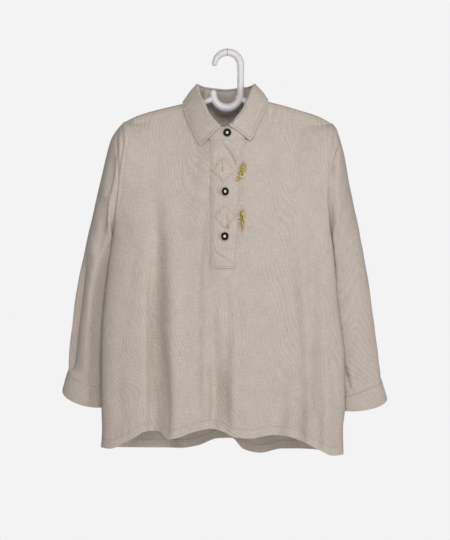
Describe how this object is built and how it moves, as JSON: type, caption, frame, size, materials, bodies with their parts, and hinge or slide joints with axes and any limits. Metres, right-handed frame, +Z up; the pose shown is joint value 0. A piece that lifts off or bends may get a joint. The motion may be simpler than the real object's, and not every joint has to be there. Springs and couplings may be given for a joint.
{
  "type": "folk-costume popover blouse on a hanger",
  "caption": "Long-sleeved popover blouse of undyed linen with a pointed collar, buttoned half placket, loop patches and horn toggles, hanging on a plastic hanger.",
  "frame": {"origin": "underside of the top of the hanger's hook, where a rail bears", "axes": "+Z up, -Y out of the garment's front, +X to the right as seen from the front; left and right in node names are as seen from the front too"},
  "size_m": [0.653, 0.1332, 0.8127],
  "materials": {
    "linen": "undyed slubby linen twill, matt",
    "plastic": "white moulded tube, softly glossy",
    "button_rim": "blackened horn, satin",
    "button_eye": "pale sunk centre",
    "toggle": "olive-yellow horn tip, satin",
    "cord": "thin off-white cord"
  },
  "bodies": {
    "root": {"hanger": "plastic", "front": "linen", "back": "linen", "sleeve_left": "linen", "sleeve_right": "linen", "cuff_left": "linen", "cuff_right": "linen", "collar_stand": "linen", "collar_leaf": "linen", "placket": "linen", "placket_under": "linen", "loop_patch_upper": "linen", "loop_patch_lower": "linen", "button_top_rim": "button_rim", "button_top_eye": "button_eye", "button_middle_rim": "button_rim", "button_middle_eye": "button_eye", "button_lower_rim": "button_rim", "button_lower_eye": "button_eye", "toggle_upper": "toggle", "loop_upper": "cord", "toggle_lower": "toggle", "loop_lower": "cord"}
  },
  "joints": []
}
